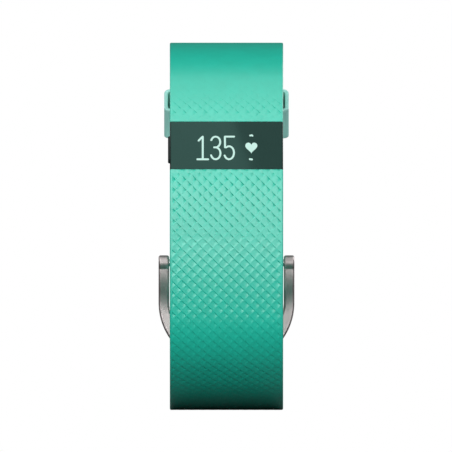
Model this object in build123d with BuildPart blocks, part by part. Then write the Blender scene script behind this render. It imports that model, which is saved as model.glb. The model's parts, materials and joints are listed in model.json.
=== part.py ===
from build123d import *
from dataclasses import dataclass
from math import acos, asin, atan2, cos, degrees, radians, sin, sqrt, tan
import os

# The band is a closed loop round the wrist. Its outline lies in the YZ plane, with the display
# facing -Y and the buckle at +Y. Angles give the direction of the outward normal: 0 is the front,
# 90 the top, 180 the rear and 270 or -90 the bottom. "out" is the distance outside that outline.

# Band
BAND_WIDTH = 21.1
BAND_THICKNESS = 2.2
BAND_EDGE = 0.5
FRONT_Y = -28.0
BASE_Z = -34.2
CROWN_CENTRE_Z = 4.9
LAYER_GAP = 0.5

# Loop: the angles where each bend ends, and its radius
CROWN_END, CROWN_RADIUS = 100, 29.3
SHOULDER_END, SHOULDER_RADIUS = 180, 26.0
BACK_END, HEEL_END = 190, 234
FRONT_END, FRONT_RADIUS = -12, 105.0
KNEE_END, KNEE_RADIUS = -50, 17.5
UNDER_RADIUS = 32.05

# Tracker core, as distances along the outline from the display's centre, positive downwards
DISPLAY_ANGLE = 20.6
DISPLAY_HEIGHT = 9.45
CORE_TOP, CORE_BOTTOM = -15.0, 23.0
CORE_WIDTH = 19.4
CORE_WALL = 1.0
CORE_RIM = -7.8
SKIRT_DEPTH = -7.5
LENS_THICKNESS = 0.95
LENS_GASKET = 0.15
RIM_GASKET = 0.3
COVER_THICKNESS = 1.0

# Side button
BUTTON_LENGTH, BUTTON_WIDTH = 5.3, 1.8
BUTTON_DEPTH = -2.75
BUTTON_STANDOUT = 0.35
BUTTON_CLEARANCE = 0.1

# Circuit board and what is on it
BOARD_TOP = -4.7
BOARD_THICKNESS = 0.8
BOARD_LOW, BOARD_HIGH = -3.0, 6.8

# Pulse sensor and charging port, on the wrist side
SENSOR_ANGLE = 15.7
SENSOR_STANDOUT = 1.3
WINDOW_THICKNESS = 0.8
PORT_DISTANCE = 15.5
CONTACT_PITCH = 1.8

# Buckle
PIN_HEIGHT = 27.4
PIN_RADIUS = 0.65
PIN_CLEARANCE = 0.05
KNUCKLE_RADIUS = 1.5
STEP_RADIUS = 7.8
STEP_START = 0.5
FRAME_HALF_WIDTH = 12.65
FRAME_INNER_HALF = 10.67
FRAME_STRAIGHT = 7.2
FRAME_ARCH = 12.2
ARCH_WIDTH = 4.0
FRAME_THICKNESS = 1.7
EAR_RADIUS = 1.4
FRAME_EDGE = 0.4
PRONG_WIDTH, PRONG_THICKNESS = 1.8, 1.1

# Holes in the long strap
HOLE_LENGTH, HOLE_WIDTH = 5.6, 2.4
HOLE_PITCH = 7.75
HOLE_LEAD = 0.6
HOLES_TO_TIP, HOLES_TO_CORE = 4, 3
TIP_ANGLE = 128.0

# Keeper
KEEPER_ANGLE = 151.5
KEEPER_LENGTH = 6.8
KEEPER_WALL = 0.75
KEEPER_SIDE_GAP = 0.3
KEEPER_FACE_GAP = 0.3

# Details of the core
SKIRT_END = 2.0
UPPER_TAPER, LOWER_TAPER = 15.0, 4.6
SEAM_ANGLE = 0.12
SCREW_INSET, SCREW_X = 2.0, 7.6
SCREW_RADIUS, SCREW_HEAD_RADIUS, SCREW_LENGTH = 0.6, 1.1, 4.2
BOSS, BOSS_SINK = 2.8, 0.15
PANEL_WINDOW = 14.6, 6.8
PANEL = 14.2, 6.4
PANEL_TOP, PANEL_THICKNESS = -1.18, 1.1
LENS_EDGE = 0.35
FLEX_THICKNESS, FLEX_WIDTH = 0.14, 6.0
FLEX_START, FLEX_BEND = -0.6, -2.0
BUTTON_WALL, POCKET_DEPTH = 1.15, 2.2
FLANGE_LENGTH, FLANGE_WIDTH, FLANGE_THICKNESS = 6.1, 2.3, 0.5
BUMP = 12.4, 10.2
BUMP_CORNER, BUMP_TAPER = 2.4, 14
SENSOR_POCKET = 9.2, 7.4
WINDOW = 8.4, 5.8
WINDOW_CORNER = 1.6
PORT = 9.0, 4.0
PORT_CORNER = 0.9
VENT_ANGLE, VENT_X, VENT_RADIUS = 35.0, 5.0, 0.6
VENT_FLOOR, MEMBRANE_RADIUS, MEMBRANE_THICKNESS = -0.55, 1.4, 0.25
FLANGE_GAP = 0.05
SEAL_START, SEAL_THICKNESS, SEAL_DEPTH, SEAL_PROUD = 0.35, 0.45, 0.3, 0.07
SWITCH = 0.9, 4.6, 2.8
SWITCH_X, PLUNGER_RADIUS, PLUNGER_STANDOUT = 7.9, 0.4, 0.1
BOARD_WIDTH = 17.0
BATTERY = 15.2, 13.2, 3.0
BATTERY_DISTANCE, BATTERY_TOP = 12.6, -4.0
PAD = 12.0, 8.0, 0.5
CELL_BOARD = 10.0, 0.6, 2.6
MOTOR_DISTANCE, MOTOR_OUT = -10.9, -5.6
MOTOR_RADIUS, MOTOR_LENGTH, MOTOR_LEFT = 2.0, 7.0, -5.3
BOOT_WALL = 0.35
SHAFT_RADIUS, SHAFT_INSIDE, SHAFT_OUTSIDE = 0.4, 1.5, 3.7
WEIGHT_RADIUS, WEIGHT_LENGTH, WEIGHT_GAP = 1.75, 2.6, 0.5
SENSOR_BOARD = 9.0, 7.2, 0.6
LED, LED_X, DIODE, LIGHT_HEIGHT = 1.2, 3.0, 2.4, 0.5
PORT_FLANGE = 0.4
PORT_RECESS = 7.8, 2.8, 0.6
CONTACT_RADIUS, CONTACT_TIP, CONTACT_LENGTH = 0.55, -0.25, 1.45

# Details of the buckle and keeper
TIP_CORNER = 6.0
KEEPER_CORNER = 1.2
PRONG_BARREL, PRONG_BARREL_RADIUS, PRONG_SIDE_GAP, PRONG_SLOT = 2.6, 1.35, 0.25, 5.2
PRONG_REACH, PRONG_LIFT, PRONG_CURVE = 18.3, 3.72, 60.0
FRAME_RISE_RUN, FRAME_RISE, FRAME_CURVE = 9.5, 2.3, 60.0
PIN_HALF = 12.15

HALF_WIDTH = BAND_WIDTH / 2
CORE_HALF = CORE_WIDTH / 2
CAVITY_HALF = CORE_HALF - CORE_WALL
CAVITY_ROOF = -BAND_THICKNESS - CORE_WALL
COVER_TOP = CORE_RIM - RIM_GASKET
COVER_FACE = COVER_TOP - COVER_THICKNESS
LENS_SEAT = -LENS_THICKNESS - LENS_GASKET
BOARD_FACE = BOARD_TOP - BOARD_THICKNESS
MIDDLE = -BAND_THICKNESS / 2


def facing(angle):
    """The outward direction at an angle, as (y, z)."""
    return Vector(-cos(radians(angle)), sin(radians(angle)))


@dataclass
class Bend:
    """An arc of the outline, and the angles that its outward normal turns between."""

    centre: Vector
    radius: float
    start: float
    end: float

    def point(self, angle, out=0.0):
        return self.centre + facing(angle) * (self.radius + out)

    def length(self):
        return abs(radians(self.end - self.start) * self.radius)

    def trimmed(self, start, end):
        return Bend(self.centre, self.radius, start, end)

    def moved(self, out):
        return Bend(self.centre, self.radius + out, self.start, self.end)


def chain(point, spans):
    """Bends that follow each other from a point without a corner."""
    bends = []
    for start, end, radius in spans:
        bends.append(Bend(point - facing(start) * radius, radius, start, end))
        point = bends[-1].point(end)
    return bends


def closing_radii(spans, first, second):
    """The radii of two last bends that bring the outline back to where it began."""
    gap = Vector(0, 0)
    for start, end, radius in spans:
        gap += (facing(end) - facing(start)) * radius
    a = facing(first[1]) - facing(first[0])
    b = facing(second[1]) - facing(second[0])
    scale = a.X * b.Y - a.Y * b.X
    return (b.X * gap.Y - b.Y * gap.X) / scale, (a.Y * gap.X - a.X * gap.Y) / scale


front_point = Vector(FRONT_Y, CROWN_CENTRE_Z)
rising = [(0, CROWN_END, CROWN_RADIUS), (CROWN_END, SHOULDER_END, SHOULDER_RADIUS)]
closing = [(HEEL_END, 270, UNDER_RADIUS), (-90, KNEE_END, UNDER_RADIUS)]
falling = [(0, FRONT_END, FRONT_RADIUS), (FRONT_END, KNEE_END, KNEE_RADIUS), (KNEE_END, -90, UNDER_RADIUS)]
uphill = [(FRONT_END, 0, FRONT_RADIUS), (KNEE_END, FRONT_END, KNEE_RADIUS)]
back_radius, heel_radius = closing_radii(
    rising + closing + uphill, (SHOULDER_END, BACK_END), (BACK_END, HEEL_END)
)
rear = [(SHOULDER_END, BACK_END, back_radius), (BACK_END, HEEL_END, heel_radius), closing[0]]
lower_half = [bend.trimmed(bend.end, bend.start) for bend in reversed(chain(front_point, falling))]
outline = lower_half + chain(front_point, rising + rear)
back = outline[5]


def bend_at(angle):
    """The bend of the outline that an angle lies on."""
    return next(bend for bend in outline if bend.start <= angle <= bend.end)


def stretch(start, end):
    """The bends of the outline between two angles."""
    kept = [bend for bend in outline if bend.start < end and bend.end > start]
    return [bend.trimmed(max(bend.start, start), min(bend.end, end)) for bend in kept]


def walk_down(distance):
    """The angle at a distance below the display's centre, along the outline."""
    to_front = radians(DISPLAY_ANGLE) * CROWN_RADIUS
    if distance < to_front:
        return DISPLAY_ANGLE - degrees(distance / CROWN_RADIUS)
    return -degrees((distance - to_front) / FRONT_RADIUS)


def place(angle, out=0.0):
    """A point on or beside the outline, in the middle of the band's width."""
    at = bend_at(angle).point(angle, out)
    return Vector(0, at.X, at.Y)


def outward(angle, out=0.0):
    """A plane that faces away from the wrist. Its y axis runs along the band."""
    away = facing(angle)
    return Plane(place(angle, out), x_dir=(1, 0, 0), z_dir=(0, away.X, away.Y))


def inward(angle, out=0.0):
    """A plane that faces the wrist."""
    away = facing(angle)
    return Plane(place(angle, out), x_dir=(1, 0, 0), z_dir=(0, -away.X, -away.Y))


def edgewise(angle, out=0.0):
    """A plane that faces +X, with its x axis along the band and its y axis outwards."""
    away = facing(angle)
    return Plane(place(angle, out), x_dir=(0, away.Y, -away.X), z_dir=(1, 0, 0))


def strip(bends, inner, outer):
    """The strip between two distances from a run of bends, as a flat face of (y, z)."""
    first, last = bends[0], bends[-1]
    with BuildSketch() as face:
        with BuildLine():
            for out in (inner, outer):
                for bend in bends:
                    start, half, end = bend.start, (bend.start + bend.end) / 2, bend.end
                    ThreePointArc(bend.point(start, out), bend.point(half, out), bend.point(end, out))
            Line(first.point(first.start, inner), first.point(first.start, outer))
            Line(last.point(last.end, inner), last.point(last.end, outer))
        make_face()
    return face.sketch


def wedge(start, end, depth):
    """The taper from the core's skirt to the strap's underside, as a flat face of (y, z)."""
    thick, thin = bend_at(start), bend_at(end)
    with BuildSketch() as face:
        Polygon(
            thick.point(start, MIDDLE),
            thick.point(start, depth),
            thin.point(end, -BAND_THICKNESS),
            thin.point(end, MIDDLE),
            align=None,
        )
    return face.sketch


display_high = walk_down(-DISPLAY_HEIGHT / 2)
display_low = walk_down(DISPLAY_HEIGHT / 2)
core_high = walk_down(CORE_TOP)
core_low = walk_down(CORE_BOTTOM)

# The step that carries the long strap from outside the buckle's pin to under the frame's arch
drop = BAND_THICKNESS + LAYER_GAP
pin_angle = 180 + degrees(asin((back.centre.Y - BASE_Z - PIN_HEIGHT) / (back_radius + MIDDLE)))
step_from = pin_angle + degrees(STEP_START / back_radius)
high_arm = back_radius + MIDDLE + drop - STEP_RADIUS
low_arm = back_radius + MIDDLE + STEP_RADIUS
turn = acos(1 - (4 * drop * STEP_RADIUS - drop**2) / (2 * high_arm * low_arm))
step_to = step_from + degrees(turn)
high_centre = back.centre + facing(step_from) * high_arm
low_centre = back.centre + facing(step_to) * low_arm
across = (low_centre - high_centre).normalized()
step_middle = 180 - degrees(atan2(across.Y, across.X))
step = [
    Bend(high_centre, STEP_RADIUS, step_from, step_middle),
    Bend(low_centre, -STEP_RADIUS, step_middle, step_to),
]
tail = [bend.moved(MIDDLE + drop) for bend in stretch(TIP_ANGLE, step_from)]
rest_of_strap = stretch(step_to, 270) + stretch(-90, display_low)
long_route = tail + step + [bend.moved(MIDDLE) for bend in rest_of_strap]
half_thick = BAND_THICKNESS / 2
engaged = sum(bend.length() for bend in tail) + step[0].length() - HOLE_LEAD
tip_at = tail[0].point(TIP_ANGLE)
tip_point = Vector(0, tip_at.X, tip_at.Y)


def across_route(route, distance):
    """The outward-facing plane at a distance along the middle of a strap."""
    for bend in route:
        if distance <= bend.length():
            break
        distance -= bend.length()
    angle = bend.start + (bend.end - bend.start) * distance / bend.length()
    at, away = bend.point(angle), facing(angle)
    return Plane((0, at.X, at.Y), x_dir=(1, 0, 0), z_dir=(0, away.X, away.Y))


def long_edges(part, bends, out):
    """The edges of a strap that run along its length at a distance from a run of bends."""
    spots = [bend.point((bend.start + bend.end) / 2, out) for bend in bends]
    found = []
    for edge in part.edges():
        middle = edge.center()
        if any((Vector(middle.Y, middle.Z) - spot).length < 0.05 for spot in spots):
            found.append(edge)
    return found


# ---------------------------------------------------------------- straps

short_span = stretch(display_high + SEAM_ANGLE, pin_angle)

with BuildPart() as buckle_strap:
    with BuildSketch(Plane.YZ):
        add(strip(short_span, -BAND_THICKNESS, 0))
    extrude(amount=HALF_WIDTH, both=True)
    fillet(long_edges(buckle_strap, short_span, 0), BAND_EDGE)
    with BuildSketch(Plane.YZ):
        add(strip(stretch(display_high + SEAM_ANGLE, core_high + SKIRT_END), SKIRT_DEPTH, MIDDLE))
        add(wedge(core_high + SKIRT_END, core_high + UPPER_TAPER, SKIRT_DEPTH))
    extrude(amount=HALF_WIDTH, both=True)
    with Locations(edgewise(pin_angle, MIDDLE)):
        Cylinder(KNUCKLE_RADIUS, BAND_WIDTH)
    with BuildSketch(Plane.YZ):
        add(strip(stretch(display_high - 1, core_high), SKIRT_DEPTH - 1, -BAND_THICKNESS))
    extrude(amount=CORE_HALF, both=True, mode=Mode.SUBTRACT)
    with BuildSketch(outward(pin_angle, MIDDLE)):
        Rectangle(PRONG_BARREL + 2 * PRONG_SIDE_GAP, PRONG_SLOT)
    extrude(amount=2 * KNUCKLE_RADIUS, both=True, mode=Mode.SUBTRACT)
    with Locations(edgewise(pin_angle, MIDDLE)):
        Cylinder(PIN_RADIUS, BAND_WIDTH + 2, mode=Mode.SUBTRACT)
buckle_strap.part.label = "buckle_strap"

with BuildPart() as hole_strap:
    with BuildSketch(Plane.YZ):
        add(strip(long_route, -half_thick, half_thick))
    extrude(amount=HALF_WIDTH, both=True)
    straight = hole_strap.edges().filter_by(GeomType.LINE).filter_by(Axis.X, reverse=True)
    near_tip = straight.filter_by(lambda edge: (edge.center() - tip_point).length < HALF_WIDTH + 1)
    fillet(near_tip, TIP_CORNER)
    fillet(long_edges(hole_strap, long_route[1:], half_thick), BAND_EDGE)
    with BuildSketch(Plane.YZ):
        add(strip(stretch(core_low - SKIRT_END / 3, display_low - SEAM_ANGLE), SKIRT_DEPTH, MIDDLE))
        add(wedge(core_low - SKIRT_END / 3, core_low - LOWER_TAPER, SKIRT_DEPTH))
    extrude(amount=HALF_WIDTH, both=True)
    with BuildSketch(Plane.YZ):
        add(strip(stretch(core_low, display_low + 1), SKIRT_DEPTH - 1, -BAND_THICKNESS))
    extrude(amount=CORE_HALF, both=True, mode=Mode.SUBTRACT)
    for number in range(-HOLES_TO_TIP, HOLES_TO_CORE + 1):
        with BuildSketch(across_route(long_route, engaged + number * HOLE_PITCH)):
            SlotOverall(HOLE_LENGTH, HOLE_WIDTH, rotation=90)
        extrude(amount=BAND_THICKNESS, both=True, mode=Mode.SUBTRACT)
hole_strap.part.label = "hole_strap"

keeper_half = degrees(KEEPER_LENGTH / 2 / SHOULDER_RADIUS)
keeper_inner = -BAND_THICKNESS - KEEPER_FACE_GAP
keeper_outer = LAYER_GAP + BAND_THICKNESS + KEEPER_FACE_GAP
keeper_span = stretch(KEEPER_ANGLE - keeper_half, KEEPER_ANGLE + keeper_half)

with BuildPart() as strap_keeper:
    with BuildSketch(Plane.YZ):
        add(strip(keeper_span, keeper_inner - KEEPER_WALL, keeper_outer + KEEPER_WALL))
    extrude(amount=HALF_WIDTH + KEEPER_SIDE_GAP + KEEPER_WALL, both=True)
    fillet(long_edges(strap_keeper, keeper_span, keeper_outer + KEEPER_WALL), KEEPER_CORNER)
    fillet(long_edges(strap_keeper, keeper_span, keeper_inner - KEEPER_WALL), KEEPER_CORNER)
    with BuildSketch(Plane.YZ):
        add(strip(stretch(KEEPER_ANGLE - 15, KEEPER_ANGLE + 15), keeper_inner, keeper_outer))
    extrude(amount=HALF_WIDTH + KEEPER_SIDE_GAP, both=True, mode=Mode.SUBTRACT)
strap_keeper.part.label = "strap_keeper"

# ---------------------------------------------------------------- buckle

frame_plan = outward(pin_angle, MIDDLE)
frame_side = edgewise(pin_angle, MIDDLE)


climb = 2 * atan2(FRAME_RISE, FRAME_RISE_RUN)
climb_radius = FRAME_RISE_RUN / 2 / sin(climb)
over = asin((FRAME_STRAIGHT + FRAME_ARCH - FRAME_RISE_RUN) / FRAME_CURVE)
frame_spine = chain(
    Vector(0, 0),
    [
        (90, 90 - degrees(climb), -climb_radius),
        (90 - degrees(climb), 90, climb_radius),
        (90, 90 + degrees(over), FRAME_CURVE),
    ],
)
prong_chord = sqrt(PRONG_REACH**2 + PRONG_LIFT**2)
prong_slope = degrees(atan2(PRONG_LIFT, PRONG_REACH))
prong_bow = degrees(asin(prong_chord / 2 / PRONG_CURVE))
prong_spine = chain(
    Vector(0, 0), [(90 - prong_slope - prong_bow, 90 - prong_slope + prong_bow, PRONG_CURVE)]
)

with BuildPart() as buckle_frame:
    with BuildSketch(frame_side):
        add(strip(frame_spine, -FRAME_THICKNESS / 2, FRAME_THICKNESS / 2))
        Circle(EAR_RADIUS)
    extrude(amount=FRAME_HALF_WIDTH, both=True)
    with BuildSketch(frame_plan):
        with BuildLine():
            top_left = (-FRAME_HALF_WIDTH, -EAR_RADIUS)
            top_right = (FRAME_HALF_WIDTH, -EAR_RADIUS)
            Line(top_left, top_right)
            Line(top_right, (FRAME_HALF_WIDTH, FRAME_STRAIGHT))
            EllipticalCenterArc((0, FRAME_STRAIGHT), FRAME_HALF_WIDTH, FRAME_ARCH, arc_size=180)
            Line((-FRAME_HALF_WIDTH, FRAME_STRAIGHT), top_left)
        make_face()
        with BuildLine():
            Line((-FRAME_INNER_HALF, -3), (FRAME_INNER_HALF, -3))
            Line((FRAME_INNER_HALF, -3), (FRAME_INNER_HALF, FRAME_STRAIGHT))
            inner_arch = FRAME_ARCH - ARCH_WIDTH
            EllipticalCenterArc((0, FRAME_STRAIGHT), FRAME_INNER_HALF, inner_arch, arc_size=180)
            Line((-FRAME_INNER_HALF, FRAME_STRAIGHT), (-FRAME_INNER_HALF, -3))
        make_face(mode=Mode.SUBTRACT)
    extrude(amount=6, both=True, mode=Mode.INTERSECT)
    fillet(buckle_frame.edges(), FRAME_EDGE)
    with Locations(frame_side):
        Cylinder(PIN_RADIUS + PIN_CLEARANCE, 2 * PIN_HALF + 0.1, mode=Mode.SUBTRACT)
buckle_frame.part.label = "buckle_frame"

with BuildPart() as buckle_pin:
    with Locations(frame_side):
        Cylinder(PIN_RADIUS, 2 * PIN_HALF)
    chamfer(buckle_pin.edges().filter_by(GeomType.CIRCLE), 0.15)
buckle_pin.part.label = "buckle_pin"

with BuildPart() as buckle_prong:
    with BuildSketch(frame_side):
        add(strip(prong_spine, -PRONG_THICKNESS / 2, PRONG_THICKNESS / 2))
    extrude(amount=PRONG_WIDTH / 2, both=True)
    with Locations(frame_side):
        Cylinder(PRONG_BARREL_RADIUS, PRONG_BARREL)
        Cylinder(PIN_RADIUS + PIN_CLEARANCE, PRONG_BARREL + 1, mode=Mode.SUBTRACT)
buckle_prong.part.label = "buckle_prong"

# ---------------------------------------------------------------- core shells

core_span = stretch(core_low, core_high)
display_span = stretch(display_low, display_high)
cavity_span = stretch(walk_down(CORE_BOTTOM - CORE_WALL), walk_down(CORE_TOP + CORE_WALL))
display = outward(DISPLAY_ANGLE)
button_plane = Plane(
    display.from_local_coords((-HALF_WIDTH, 0, BUTTON_DEPTH)),
    x_dir=edgewise(DISPLAY_ANGLE).x_dir,
    z_dir=(1, 0, 0),
)
screw_spots = []
for distance in (CORE_TOP + SCREW_INSET, CORE_BOTTOM - SCREW_INSET):
    for side in (-SCREW_X, SCREW_X):
        spot = inward(walk_down(distance), COVER_FACE)
        screw_spots.append(Plane(spot.from_local_coords((side, 0, 0)), x_dir=(1, 0, 0), z_dir=spot.z_dir))
sensor = inward(SENSOR_ANGLE, COVER_FACE)
port = inward(walk_down(PORT_DISTANCE), COVER_FACE)
vent = Plane(
    inward(VENT_ANGLE, COVER_FACE).from_local_coords((VENT_X, 0, 0)),
    x_dir=(1, 0, 0),
    z_dir=inward(VENT_ANGLE).z_dir,
)
contact_xs = [CONTACT_PITCH * (number - 1.5) for number in range(4)]

with BuildPart() as main_housing:
    with BuildSketch(Plane.YZ):
        add(strip(core_span, CORE_RIM, -BAND_THICKNESS))
    extrude(amount=CORE_HALF, both=True)
    with BuildSketch(Plane.YZ):
        add(strip(display_span, CORE_RIM, LENS_SEAT))
    extrude(amount=HALF_WIDTH, both=True)
    with BuildSketch(Plane.YZ):
        add(strip(cavity_span, CORE_RIM - 1, CAVITY_ROOF))
    extrude(amount=CAVITY_HALF, both=True, mode=Mode.SUBTRACT)
    for spot in screw_spots:
        with BuildSketch(spot.offset(COVER_FACE - CORE_RIM - BOSS_SINK)):
            Rectangle(BOSS, BOSS)
        extrude(amount=CAVITY_ROOF - CORE_RIM - BOSS_SINK, dir=-spot.z_dir)
        with BuildSketch(spot):
            Circle(SCREW_RADIUS)
        extrude(amount=SCREW_LENGTH, dir=-spot.z_dir, mode=Mode.SUBTRACT)
    with BuildSketch(display.offset(1)):
        RectangleRounded(PANEL_WINDOW[0], PANEL_WINDOW[1], 0.5)
    extrude(amount=-5, mode=Mode.SUBTRACT)
    with BuildSketch(button_plane):
        SlotOverall(BUTTON_LENGTH + 2 * BUTTON_CLEARANCE, BUTTON_WIDTH + 2 * BUTTON_CLEARANCE)
    extrude(amount=2, both=True, mode=Mode.SUBTRACT)
    with BuildSketch(button_plane.offset(BUTTON_WALL)):
        Rectangle(FLANGE_LENGTH + 0.6, FLANGE_WIDTH + 0.2)
    extrude(amount=POCKET_DEPTH, mode=Mode.SUBTRACT)
main_housing.part.label = "main_housing"

with BuildPart() as perimeter_gasket:
    with BuildSketch(Plane.YZ):
        add(strip(core_span, COVER_TOP, CORE_RIM))
    extrude(amount=CORE_HALF, both=True)
    with BuildSketch(Plane.YZ):
        add(strip(cavity_span, COVER_TOP - 1, CORE_RIM + 1))
    extrude(amount=CAVITY_HALF, both=True, mode=Mode.SUBTRACT)
perimeter_gasket.part.label = "perimeter_gasket"

with BuildPart() as back_cover:
    with BuildSketch(Plane.YZ):
        add(strip(core_span, COVER_FACE, COVER_TOP))
    extrude(amount=CORE_HALF, both=True)
    with BuildSketch(sensor.offset(-COVER_THICKNESS / 2)):
        RectangleRounded(BUMP[0], BUMP[1], BUMP_CORNER)
    extrude(amount=COVER_THICKNESS / 2 + SENSOR_STANDOUT, taper=BUMP_TAPER)
    with BuildSketch(sensor.offset(SENSOR_STANDOUT - WINDOW_THICKNESS)):
        Rectangle(SENSOR_POCKET[0], SENSOR_POCKET[1])
    extrude(amount=-6, mode=Mode.SUBTRACT)
    with BuildSketch(sensor.offset(SENSOR_STANDOUT)):
        RectangleRounded(WINDOW[0], WINDOW[1], WINDOW_CORNER)
    extrude(amount=-6, mode=Mode.SUBTRACT)
    with BuildSketch(port):
        RectangleRounded(PORT[0], PORT[1], PORT_CORNER)
    extrude(amount=6, both=True, mode=Mode.SUBTRACT)
    with BuildSketch(vent):
        Circle(VENT_RADIUS)
    extrude(amount=3, both=True, mode=Mode.SUBTRACT)
    with BuildSketch(vent.offset(VENT_FLOOR)):
        Circle(MEMBRANE_RADIUS)
    extrude(amount=-3, mode=Mode.SUBTRACT)
    for spot in screw_spots:
        with Locations(spot):
            CounterSinkHole(SCREW_RADIUS, SCREW_HEAD_RADIUS, 3)
back_cover.part.label = "back_cover"

with BuildPart() as cover_screws:
    for spot in screw_spots:
        with BuildSketch(spot):
            Circle(SCREW_RADIUS)
        extrude(amount=SCREW_LENGTH, dir=-spot.z_dir)
        with BuildSketch(spot):
            Circle(SCREW_HEAD_RADIUS)
        extrude(amount=-(SCREW_HEAD_RADIUS - SCREW_RADIUS) / tan(radians(41)), taper=41)
        with BuildSketch(spot):
            RegularPolygon(0.42, 6)
        extrude(amount=-0.4, mode=Mode.SUBTRACT)
cover_screws.part.label = "cover_screws"

# ---------------------------------------------------------------- display

with BuildPart() as display_lens:
    with BuildSketch(Plane.YZ):
        add(strip(display_span, -LENS_THICKNESS, 0))
    extrude(amount=HALF_WIDTH, both=True)
    fillet(long_edges(display_lens, display_span, 0), LENS_EDGE)
display_lens.part.label = "display_lens"

with BuildPart() as display_gasket:
    with BuildSketch(Plane.YZ):
        add(strip(display_span, LENS_SEAT, -LENS_THICKNESS))
    extrude(amount=HALF_WIDTH - 0.3, both=True)
    with BuildSketch(display.offset(1)):
        RectangleRounded(PANEL_WINDOW[0], PANEL_WINDOW[1], 0.5)
    extrude(amount=-5, mode=Mode.SUBTRACT)
display_gasket.part.label = "display_gasket"

with BuildPart() as oled_panel:
    with BuildSketch(display.offset(PANEL_TOP)):
        Rectangle(PANEL[0], PANEL[1])
    extrude(amount=-PANEL_THICKNESS)
oled_panel.part.label = "oled_panel"

flex_high = PANEL_TOP - PANEL_THICKNESS
flex_low = BOARD_TOP
flex_radius = (flex_high - flex_low - FLEX_THICKNESS) / 2
flex_bend = chain(Vector(FLEX_BEND, flex_high - FLEX_THICKNESS / 2), [(270, 90, -flex_radius)])

with BuildPart() as oled_flex:
    with BuildSketch(edgewise(DISPLAY_ANGLE)):
        add(strip(flex_bend, -FLEX_THICKNESS / 2, FLEX_THICKNESS / 2))
        for height in (flex_high - FLEX_THICKNESS / 2, flex_low + FLEX_THICKNESS / 2):
            with Locations(((FLEX_START + FLEX_BEND) / 2, height)):
                Rectangle(FLEX_START - FLEX_BEND, FLEX_THICKNESS)
    extrude(amount=FLEX_WIDTH / 2, both=True)
oled_flex.part.label = "oled_flex"

# ---------------------------------------------------------------- button

with BuildPart() as button_cap:
    with BuildSketch(button_plane.offset(-BUTTON_STANDOUT)):
        SlotOverall(BUTTON_LENGTH, BUTTON_WIDTH)
    extrude(amount=BUTTON_STANDOUT + BUTTON_WALL + FLANGE_GAP)
    fillet(button_cap.faces().sort_by(Axis.X)[0].edges(), 0.25)
    with BuildSketch(button_plane.offset(BUTTON_WALL + FLANGE_GAP)):
        RectangleRounded(FLANGE_LENGTH, FLANGE_WIDTH, 0.6)
    extrude(amount=FLANGE_THICKNESS)
    with BuildSketch(button_plane.offset(SEAL_START)):
        SlotOverall(BUTTON_LENGTH + 1, BUTTON_WIDTH + 1)
        SlotOverall(BUTTON_LENGTH - 2 * SEAL_DEPTH, BUTTON_WIDTH - 2 * SEAL_DEPTH, mode=Mode.SUBTRACT)
    extrude(amount=SEAL_THICKNESS, mode=Mode.SUBTRACT)
button_cap.part.label = "button_cap"

with BuildPart() as button_seal:
    with BuildSketch(button_plane.offset(SEAL_START)):
        SlotOverall(BUTTON_LENGTH + 2 * SEAL_PROUD, BUTTON_WIDTH + 2 * SEAL_PROUD)
        SlotOverall(BUTTON_LENGTH - 2 * SEAL_DEPTH, BUTTON_WIDTH - 2 * SEAL_DEPTH, mode=Mode.SUBTRACT)
    extrude(amount=SEAL_THICKNESS)
button_seal.part.label = "button_seal"

with BuildPart() as button_switch:
    with BuildSketch(display.offset(BOARD_TOP)):
        with Locations((-SWITCH_X, 0)):
            Rectangle(SWITCH[0], SWITCH[1])
    extrude(amount=SWITCH[2])
    with BuildSketch(button_plane.offset(HALF_WIDTH - SWITCH_X - SWITCH[0] / 2)):
        Circle(PLUNGER_RADIUS)
    extrude(amount=-PLUNGER_STANDOUT)
button_switch.part.label = "button_switch"

# ---------------------------------------------------------------- electronics

with BuildPart() as main_pcb:
    with BuildSketch(display.offset(BOARD_TOP)):
        with Locations((0, (BOARD_LOW + BOARD_HIGH) / 2)):
            RectangleRounded(BOARD_WIDTH, BOARD_HIGH - BOARD_LOW, 0.8)
    extrude(amount=-BOARD_THICKNESS)
main_pcb.part.label = "main_pcb"


def chip(name, x, y, width, length, height):
    """A component soldered on the wrist side of the main board."""
    with BuildPart() as body:
        with BuildSketch(display.offset(BOARD_FACE)):
            with Locations((x, y)):
                Rectangle(width, length)
        extrude(amount=-height)
        chamfer(body.faces().sort_by(Axis(body.part.center(), -display.z_dir))[-1].edges(), 0.1)
    body.part.label = name
    return body


processor_chip = chip("processor_chip", -3.6, 2.6, 5.0, 5.0, 0.9)
radio_chip = chip("radio_chip", 2.6, 1.6, 4.0, 4.0, 0.8)
accelerometer = chip("accelerometer", 6.6, 0.6, 2.0, 2.0, 0.75)
altimeter = chip("altimeter", 6.4, 5.4, 2.5, 2.5, 0.8)
antenna = chip("antenna", 1.6, 5.1, 4.8, 1.6, 1.0)

battery_plane = outward(walk_down(BATTERY_DISTANCE))

with BuildPart() as battery:
    with BuildSketch(battery_plane.offset(BATTERY_TOP)):
        RectangleRounded(BATTERY[0], BATTERY[1], 0.6)
    extrude(amount=-BATTERY[2])
    fillet(battery.faces().sort_by(SortBy.AREA)[-2:].edges(), 0.4)
battery.part.label = "battery"

with BuildPart() as battery_pad:
    with BuildSketch(battery_plane.offset(BATTERY_TOP)):
        RectangleRounded(PAD[0], PAD[1], 1.0)
    extrude(amount=PAD[2])
battery_pad.part.label = "battery_pad"

with BuildPart() as battery_board:
    with BuildSketch(battery_plane.offset(BATTERY_TOP - 0.25)):
        with Locations((0, -BATTERY[1] / 2 - CELL_BOARD[1] / 2)):
            Rectangle(CELL_BOARD[0], CELL_BOARD[1])
    extrude(amount=-CELL_BOARD[2])
battery_board.part.label = "battery_board"

# ---------------------------------------------------------------- vibration motor

motor_axis = edgewise(walk_down(MOTOR_DISTANCE), MOTOR_OUT)

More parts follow.
